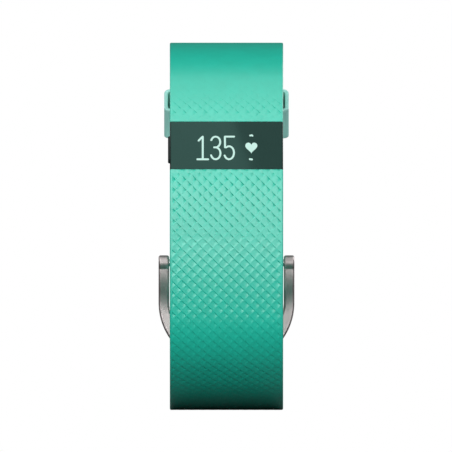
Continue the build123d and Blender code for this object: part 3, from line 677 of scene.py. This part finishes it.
def make_readout():
    """The digits one, three and five. Their x is in millimetres from the display's middle."""
    one = [
        stroke([(-5.18, digit_height(0.82)), (-4.52, digit_height(0.985))]),
        stroke([(-4.42, digit_height(1.0)), (-4.42, digit_height(0.0))]),
        stroke([(-5.42, digit_height(0.0)), (-3.42, digit_height(0.0))]),
    ]
    three = [
        stroke(arc(-2.02, 0.76, 0.86, 0.24, 160, -80)),
        stroke([(-2.3, digit_height(0.52)), (-1.87, digit_height(0.52))]),
        stroke(arc(-2.02, 0.26, 0.9, 0.26, 80, -160)),
    ]
    five = [
        stroke([(1.42, digit_height(1.0)), (-0.3, digit_height(1.0))]),
        stroke([(-0.3, digit_height(1.0)), (-0.27, digit_height(0.52))]),
        stroke([(-0.27, digit_height(0.52))] + arc(0.48, 0.285, 0.92, 0.285, 125, -155)),
    ]
    return lay_on_lens(join_strokes(one + three + five), "readout_digits")


def make_pulse_marks():
    """A plain heart between two small ticks."""
    bpy.ops.mesh.primitive_circle_add(vertices=48, radius=1, fill_type="NGON", location=(0, 0, 0))
    heart = start_piece("heart")
    for vertex in heart.data.vertices:
        turn = math.atan2(vertex.co.y, vertex.co.x)
        across = 16 * math.sin(turn) ** 3
        along = 13 * math.cos(turn) - 5 * math.cos(2 * turn) - 2 * math.cos(3 * turn) - math.cos(4 * turn)
        vertex.co = (HEART_X + across / 16 * HEART_HALF, HEART_Y + (along + 2) / 15 * HEART_HALF, 0)
    open_edit(heart)
    bpy.ops.mesh.select_all(action="SELECT")
    bpy.ops.mesh.extrude_region_move(TRANSFORM_OT_translate={"value": (0, 0, HEART_THICKNESS)})
    bpy.ops.mesh.select_all(action="SELECT")
    bpy.ops.mesh.normals_make_consistent(inside=False)
    close_edit()
    above = stroke([(HEART_X - 0.2, 1.82), (HEART_X + 0.08, 1.9), (HEART_X + 0.2, 1.78)])
    below = stroke([(HEART_X - 0.26, -2.84), (HEART_X + 0.12, -2.9)])
    return lay_on_lens(join_strokes([heart, above, below]), "pulse_marks")


readout_digits = make_readout()
pulse_marks = make_pulse_marks()

# ------------------------------------------------------------------ surface effects

def new_group(name, inputs, outputs):
    """A shader node group with named sockets. Returns it with its nodes, input and output."""
    group = bpy.data.node_groups.new(name, "ShaderNodeTree")
    for socket, kind, value in inputs:
        made = group.interface.new_socket(socket, in_out="INPUT", socket_type=kind)
        made.default_value = value
    for socket, kind in outputs:
        group.interface.new_socket(socket, in_out="OUTPUT", socket_type=kind)
    return group, group.nodes.new("NodeGroupInput"), group.nodes.new("NodeGroupOutput")


def feed(tree, socket, source):
    """Set a socket to a number or a colour, or link another socket to it."""
    if isinstance(source, (int, float, tuple)):
        socket.default_value = source
    else:
        tree.links.new(source, socket)


def add_noise(tree, scale, detail=3.0, roughness=0.55):
    noise = tree.nodes.new("ShaderNodeTexNoise")
    noise.inputs["Detail"].default_value = detail
    noise.inputs["Roughness"].default_value = roughness
    feed(tree, noise.inputs["Scale"], scale)
    return noise


def add_math(tree, operation, first, second):
    node = tree.nodes.new("ShaderNodeMath")
    node.operation = operation
    for socket, source in zip(node.inputs, (first, second)):
        feed(tree, socket, source)
    return node.outputs[0]


def add_range(tree, value, low, high):
    """Spread a 0 to 1 pattern between two values."""
    node = tree.nodes.new("ShaderNodeMapRange")
    node.inputs["From Min"].default_value, node.inputs["From Max"].default_value = 0.3, 0.7
    for socket, source in (("Value", value), ("To Min", low), ("To Max", high)):
        feed(tree, node.inputs[socket], source)
    return node.outputs["Result"]


def blend_colours(tree, share, first, second):
    node = tree.nodes.new("ShaderNodeMix")
    node.data_type = "RGBA"
    colours = [socket for socket in node.inputs if socket.type == "RGBA"]
    factor = next(socket for socket in node.inputs if socket.name == "Factor" and socket.type == "VALUE")
    for socket, source in zip([factor] + colours, (share, first, second)):
        feed(tree, socket, source)
    return next(socket for socket in node.outputs if socket.type == "RGBA")


def make_moulded_grain():
    """Soft mottling, a fine spark-eroded grain and a little dust, as moulded pieces have."""
    group, given, result = new_group(
        "moulded_grain",
        [
            ("Light Colour", "NodeSocketColor", (0.5, 0.5, 0.5, 1)),
            ("Dark Colour", "NodeSocketColor", (0.4, 0.4, 0.4, 1)),
            ("Grain Scale", "NodeSocketFloat", 9000.0),
            ("Smoothest", "NodeSocketFloat", 0.4),
            ("Roughest", "NodeSocketFloat", 0.6),
            ("Dust", "NodeSocketFloat", 0.02),
        ],
        [("Colour", "NodeSocketColor"), ("Roughness", "NodeSocketFloat"), ("Height", "NodeSocketFloat")],
    )
    places = group.nodes.new("ShaderNodeTexCoord").outputs["Object"]
    mottle = add_noise(group, 420.0)
    grain = add_noise(group, given.outputs["Grain Scale"], detail=2.0)
    specks = add_noise(group, 3300.0, detail=1.0)
    for noise in (mottle, grain, specks):
        group.links.new(places, noise.inputs["Vector"])
    share = add_range(group, mottle.outputs["Fac"], 0.0, 1.0)
    body = blend_colours(group, share, given.outputs["Dark Colour"], given.outputs["Light Colour"])
    speck = add_math(group, "GREATER_THAN", specks.outputs["Fac"], 0.71)
    dusted = blend_colours(
        group, add_math(group, "MULTIPLY", speck, given.outputs["Dust"]), body, (0.8, 0.8, 0.78, 1)
    )
    group.links.new(dusted, result.inputs["Colour"])
    rough = add_range(group, grain.outputs["Fac"], given.outputs["Smoothest"], given.outputs["Roughest"])
    group.links.new(rough, result.inputs["Roughness"])
    group.links.new(grain.outputs["Fac"], result.inputs["Height"])
    return group


def make_brushed_lines():
    """Fine parallel lines and a slow drift in tone, as brushed or rolled metal has."""
    group, given, result = new_group(
        "brushed_lines",
        [
            ("Light Colour", "NodeSocketColor", (0.6, 0.6, 0.6, 1)),
            ("Dark Colour", "NodeSocketColor", (0.5, 0.5, 0.5, 1)),
            ("Stretch", "NodeSocketVector", (12000.0, 700.0, 12000.0)),
            ("Smoothest", "NodeSocketFloat", 0.2),
            ("Roughest", "NodeSocketFloat", 0.35),
        ],
        [("Colour", "NodeSocketColor"), ("Roughness", "NodeSocketFloat"), ("Height", "NodeSocketFloat")],
    )
    places = group.nodes.new("ShaderNodeTexCoord").outputs["Object"]
    stretched = group.nodes.new("ShaderNodeVectorMath")
    stretched.operation = "MULTIPLY"
    group.links.new(places, stretched.inputs[0])
    group.links.new(given.outputs["Stretch"], stretched.inputs[1])
    lines = add_noise(group, 1.0, detail=4.0)
    group.links.new(stretched.outputs["Vector"], lines.inputs["Vector"])
    drift = add_noise(group, 260.0)
    group.links.new(places, drift.inputs["Vector"])
    tone = add_math(group, "ADD", lines.outputs["Fac"], drift.outputs["Fac"])
    share = add_range(group, add_math(group, "MULTIPLY", tone, 0.5), 0.0, 1.0)
    colour = blend_colours(group, share, given.outputs["Dark Colour"], given.outputs["Light Colour"])
    group.links.new(colour, result.inputs["Colour"])
    rough = add_range(group, lines.outputs["Fac"], given.outputs["Smoothest"], given.outputs["Roughest"])
    group.links.new(rough, result.inputs["Roughness"])
    group.links.new(lines.outputs["Fac"], result.inputs["Height"])
    return group


def make_copper_tracks():
    """Thin tracks and pads under a board's lacquer."""
    group, given, result = new_group(
        "copper_tracks",
        [
            ("Lacquer", "NodeSocketColor", (0.01, 0.1, 0.04, 1)),
            ("Track Colour", "NodeSocketColor", (0.05, 0.25, 0.08, 1)),
            ("Pitch", "NodeSocketFloat", 1500.0),
        ],
        [("Colour", "NodeSocketColor"), ("Height", "NodeSocketFloat")],
    )
    places = group.nodes.new("ShaderNodeTexCoord").outputs["Object"]
    tracks = group.nodes.new("ShaderNodeTexBrick")
    tracks.inputs["Color1"].default_value = (0, 0, 0, 1)
    tracks.inputs["Color2"].default_value = (0, 0, 0, 1)
    tracks.inputs["Mortar"].default_value = (1, 1, 1, 1)
    tracks.inputs["Mortar Size"].default_value = 0.03
    group.links.new(places, tracks.inputs["Vector"])
    group.links.new(given.outputs["Pitch"], tracks.inputs["Scale"])
    lacquer, track = given.outputs["Lacquer"], given.outputs["Track Colour"]
    colour = blend_colours(group, tracks.outputs["Color"], lacquer, track)
    group.links.new(colour, result.inputs["Colour"])
    group.links.new(tracks.outputs["Color"], result.inputs["Height"])
    return group


moulded_grain = make_moulded_grain()
brushed_lines = make_brushed_lines()
copper_tracks = make_copper_tracks()

# ------------------------------------------------------------------ materials

def start_material(name, effect, values, bump, constants):
    """A material whose colour, roughness and bump come from an effect, and the rest from constants."""
    material = bpy.data.materials.new(name)
    material.use_nodes = True
    tree = material.node_tree
    surface = tree.nodes["Principled BSDF"]
    for socket, value in constants.items():
        surface.inputs[socket].default_value = value
    source = tree.nodes.new("ShaderNodeGroup")
    source.node_tree = effect
    for socket, value in values.items():
        source.inputs[socket].default_value = value
    tree.links.new(source.outputs["Colour"], surface.inputs["Base Color"])
    if "Roughness" in source.outputs:
        tree.links.new(source.outputs["Roughness"], surface.inputs["Roughness"])
    if bump:
        raised = tree.nodes.new("ShaderNodeBump")
        raised.inputs["Strength"].default_value = 1.0
        raised.inputs["Distance"].default_value = bump * MM
        tree.links.new(source.outputs["Height"], raised.inputs["Height"])
        tree.links.new(raised.outputs["Normal"], surface.inputs["Normal"])
    return material


def moulded(name, light, dark, smoothest, roughest, bump=0.004, grain=9000.0, dust=0.02, **constants):
    values = {
        "Light Colour": (*light, 1),
        "Dark Colour": (*dark, 1),
        "Grain Scale": grain,
        "Smoothest": smoothest,
        "Roughest": roughest,
        "Dust": dust,
    }
    return start_material(name, moulded_grain, values, bump, constants)


def metal(name, light, dark, smoothest, roughest, stretch_by, bump=0.001, **constants):
    values = {
        "Light Colour": (*light, 1),
        "Dark Colour": (*dark, 1),
        "Stretch": stretch_by,
        "Smoothest": smoothest,
        "Roughest": roughest,
    }
    return start_material(name, brushed_lines, values, bump, {"Metallic": 1.0, **constants})


ALONG_Z = (12000.0, 12000.0, 700.0)
ALONG_X = (700.0, 12000.0, 12000.0)

strap_rubber = moulded(
    "strap_rubber", (0.0, 0.56, 0.405), (0.0, 0.525, 0.375), 0.3, 0.38, bump=0.002, dust=0.0,
    **{"Specular IOR Level": 1.0, "Coat Weight": 0.6, "Coat Roughness": 0.34},
)
# Painted light: the keeper is the same teal rubber as the strap, given a much lighter base colour to stand in
# for the side light it misses in the strap's shadow.
keeper_rubber = moulded(
    "keeper_rubber", (0.46, 0.95, 0.86), (0.42, 0.91, 0.82), 0.42, 0.5, bump=0.003, dust=0.0,
    **{"Specular IOR Level": 1.0},
)
smoked_lens = moulded(
    "smoked_lens", (0.006, 0.016, 0.014), (0.005, 0.014, 0.012), 0.025, 0.035, bump=0.0, dust=0.0,
    **{"Specular Tint": (0.45, 1.0, 0.86, 1), "IOR": 1.5},
)
finishes = {
    "satin_steel": metal("satin_steel", (0.62, 0.56, 0.555), (0.54, 0.49, 0.485), 0.4, 0.5, ALONG_Z),
    "bright_steel": metal("bright_steel", (0.72, 0.72, 0.73), (0.62, 0.62, 0.63), 0.12, 0.22, ALONG_X),
    "dark_glass": smoked_lens,
    "keeper_rubber": keeper_rubber,
    "strap_rubber": strap_rubber,
    "panel_glass": moulded("panel_glass", (0.012, 0.016, 0.018), (0.01, 0.013, 0.015), 0.06, 0.12, bump=0.0),
    "housing_plastic": moulded("housing_plastic", (0.024, 0.03, 0.032), (0.018, 0.023, 0.025), 0.42, 0.58),
    "cover_plastic": moulded("cover_plastic", (0.03, 0.038, 0.04), (0.022, 0.028, 0.03), 0.36, 0.52),
    "button_plastic": moulded(
        "button_plastic", (0.006, 0.009, 0.01), (0.004, 0.007, 0.008), 0.3, 0.42,
        **{"Specular IOR Level": 0.2},
    ),
    "black_seal": moulded("black_seal", (0.018, 0.019, 0.019), (0.012, 0.013, 0.013), 0.6, 0.75),
    "chip_epoxy": moulded("chip_epoxy", (0.02, 0.02, 0.022), (0.013, 0.013, 0.015), 0.5, 0.65),
    "chip_can": metal("chip_can", (0.62, 0.62, 0.6), (0.52, 0.52, 0.5), 0.25, 0.38, ALONG_X),
    "antenna_ceramic": moulded("antenna_ceramic", (0.82, 0.8, 0.74), (0.74, 0.71, 0.64), 0.35, 0.5),
    "flex_film": moulded("flex_film", (0.55, 0.27, 0.05), (0.45, 0.2, 0.035), 0.22, 0.32),
    "cell_foil": metal("cell_foil", (0.72, 0.73, 0.74), (0.62, 0.63, 0.65), 0.24, 0.4, ALONG_X, bump=0.004),
    "foam": moulded("foam", (0.05, 0.05, 0.052), (0.025, 0.025, 0.027), 0.8, 0.95, bump=0.03, grain=4500.0),
    "motor_steel": metal("motor_steel", (0.58, 0.58, 0.6), (0.48, 0.48, 0.5), 0.2, 0.3, ALONG_X),
    "weight_tungsten": metal("weight_tungsten", (0.3, 0.3, 0.31), (0.22, 0.22, 0.23), 0.35, 0.5, ALONG_X),
    "led_epoxy": moulded(
        "led_epoxy", (0.25, 0.8, 0.3), (0.16, 0.66, 0.2), 0.15, 0.25, bump=0.0,
        **{"Emission Color": (0.1, 1.0, 0.25, 1), "Emission Strength": 0.6},
    ),
    "diode_glass": moulded("diode_glass", (0.03, 0.025, 0.05), (0.02, 0.016, 0.035), 0.08, 0.15, bump=0.0),
    "sensor_glass": moulded(
        "sensor_glass", (0.05, 0.055, 0.06), (0.04, 0.044, 0.05), 0.05, 0.1, bump=0.0,
        **{"Transmission Weight": 0.8, "IOR": 1.5},
    ),
    "gold_contact": metal("gold_contact", (0.9, 0.68, 0.32), (0.8, 0.56, 0.22), 0.16, 0.26, ALONG_X),
    "vent_film": moulded("vent_film", (0.84, 0.84, 0.82), (0.74, 0.74, 0.72), 0.75, 0.9, bump=0.01),
    "board_laminate": start_material(
        "board_laminate",
        copper_tracks,
        {"Lacquer": (0.008, 0.09, 0.035, 1), "Track Colour": (0.03, 0.2, 0.07, 1), "Pitch": 1100.0},
        0.01,
        {"Roughness": 0.35, "Coat Weight": 0.3},
    ),
}
lit_readout = moulded(
    "lit_readout", (0.1, 0.16, 0.14), (0.09, 0.15, 0.13), 0.35, 0.45, bump=0.0, dust=0.0,
    **{"Emission Color": (0.58, 0.86, 0.78, 1), "Emission Strength": 0.78},
)


def dress(piece, material):
    piece.data.materials.clear()
    piece.data.materials.append(material)


for subpart in frame["record"]["subparts"]:
    dress(frame["nodes"][subpart["node"]], finishes[subpart["material_slot"]])
for strap, replaced in ((long_strap, "hole_strap"), (short_strap, "buckle_strap")):
    dress(strap, strap_rubber)
    finish_piece(strap, "band", [replaced])
dress(keeper_loop, keeper_rubber)
finish_piece(keeper_loop, "keeper", ["strap_keeper"])
dress(readout_digits, lit_readout)
dress(pulse_marks, lit_readout)

# ------------------------------------------------------------------ studio

AROUND = 0.06
# Each pair of softboxes: its height in degrees, how far off, wide and tall each is, the left and
# right brightness, and where the two meet
SOFTBOXES = {
    "low": (2, 0.16, 0.15, 0.07, 2.4, 2.2, 0.0),
    "main": (42, 0.6, 0.55, 0.72, 1.75, 1.0, 0.0029),
    "top": (86, 0.6, 0.55, 0.40, 0.95, 0.85, 0.0),
}
SOFTBOX_ROLL = math.radians(0.5)
REAR_PLACE, REAR_SIZE = (0.7, 0.5, 0.35), (0.5, 0.5)
REAR_ENERGY = {"left": 1.2, "right": 3.0}
SIDES = {"left": -1, "right": 1}
FLOOR_RADIUS, FLOOR_GAP = 1.5, 0.0001
FLOOR_SEEN, FLOOR_LIGHT = (0.86, 0.86, 0.86, 1), (0.1, 0.1, 0.1, 1)
VIEW_WIDTH, CAMERA_AWAY = 0.08417, 0.4
VIEW_SHIFT = (-0.09 * MM, 0.06 * MM)


def add_softbox(name, place, target, size, energy, roll=0.0):
    """A rectangular light that faces a point."""
    light = bpy.data.lights.new(name, "AREA")
    light.shape, light.size, light.size_y, light.energy = "RECTANGLE", size[0], size[1], energy
    box = bpy.data.objects.new(name, light)
    bpy.context.scene.collection.objects.link(box)
    box.location = place
    turn = (Vector(target) - Vector(place)).to_track_quat("-Z", "Y").to_matrix()
    box.rotation_euler = (turn @ Matrix.Rotation(roll, 3, "Z")).to_euler()
    box.visible_camera = False


def make_world():
    """White behind the object, and a dimmer light all round it."""
    world = bpy.data.worlds.new("studio")
    bpy.context.scene.world = world
    world.use_nodes = True
    tree = world.node_tree
    seen, around = tree.nodes["Background"], tree.nodes.new("ShaderNodeBackground")
    seen.inputs["Color"].default_value = (1, 1, 1, 1)
    around.inputs["Color"].default_value = (0.94, 0.97, 1.0, 1)
    around.inputs["Strength"].default_value = AROUND
    path, choice = tree.nodes.new("ShaderNodeLightPath"), tree.nodes.new("ShaderNodeMixShader")
    tree.links.new(path.outputs["Is Camera Ray"], choice.inputs["Fac"])
    tree.links.new(around.outputs["Background"], choice.inputs[1])
    tree.links.new(seen.outputs["Background"], choice.inputs[2])
    tree.links.new(choice.outputs["Shader"], tree.nodes["World Output"].inputs["Surface"])


def make_floor():
    """A pale floor just under the band. It looks pale, and throws little light back up."""
    place = (0, 0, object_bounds()[0][2] - FLOOR_GAP)
    bpy.ops.mesh.primitive_circle_add(vertices=64, radius=FLOOR_RADIUS, fill_type="NGON", location=place)
    floor = start_piece("floor")
    material = bpy.data.materials.new("floor_paper")
    material.use_nodes = True
    tree = material.node_tree
    surface = tree.nodes["Principled BSDF"]
    surface.inputs["Roughness"].default_value = 0.9
    surface.inputs["Specular IOR Level"].default_value = 0.1
    path = tree.nodes.new("ShaderNodeLightPath")
    paper = blend_colours(tree, path.outputs["Is Camera Ray"], FLOOR_LIGHT, FLOOR_SEEN)
    tree.links.new(paper, surface.inputs["Base Color"])
    dress(floor, material)


def make_lights():
    for name, (height, away, wide, tall, left, right, meeting) in SOFTBOXES.items():
        rise = math.radians(height)
        for (side, way), brightness in zip(SIDES.items(), (left, right)):
            place = Vector((0, -math.cos(rise), math.sin(rise))) * away
            place.x = meeting + way * wide / 2
            energy = brightness * math.pi * wide * tall
            add_softbox(
                f"{name}_{side}_softbox", place, (place.x, 0, 0), (wide, tall), energy, SOFTBOX_ROLL
            )
    for side, way in SIDES.items():
        place = (way * REAR_PLACE[0], *REAR_PLACE[1:])
        add_softbox(f"rear_{side}_softbox", place, (0, 0, 0), REAR_SIZE, REAR_ENERGY[side])


def make_camera():
    low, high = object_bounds()
    camera = bpy.data.objects.new("camera", bpy.data.cameras.new("camera"))
    camera.data.type, camera.data.ortho_scale = "ORTHO", VIEW_WIDTH
    bpy.context.scene.collection.objects.link(camera)
    middle = ((low[0] + high[0]) / 2 + VIEW_SHIFT[0], (low[2] + high[2]) / 2 + VIEW_SHIFT[1])
    camera.location = (middle[0], -CAMERA_AWAY, middle[1])
    camera.rotation_euler = (math.pi / 2, 0, 0)
    bpy.context.scene.camera = camera


bpy.context.scene.view_settings.view_transform = "Standard"
make_world()
make_lights()
make_camera()
make_floor()
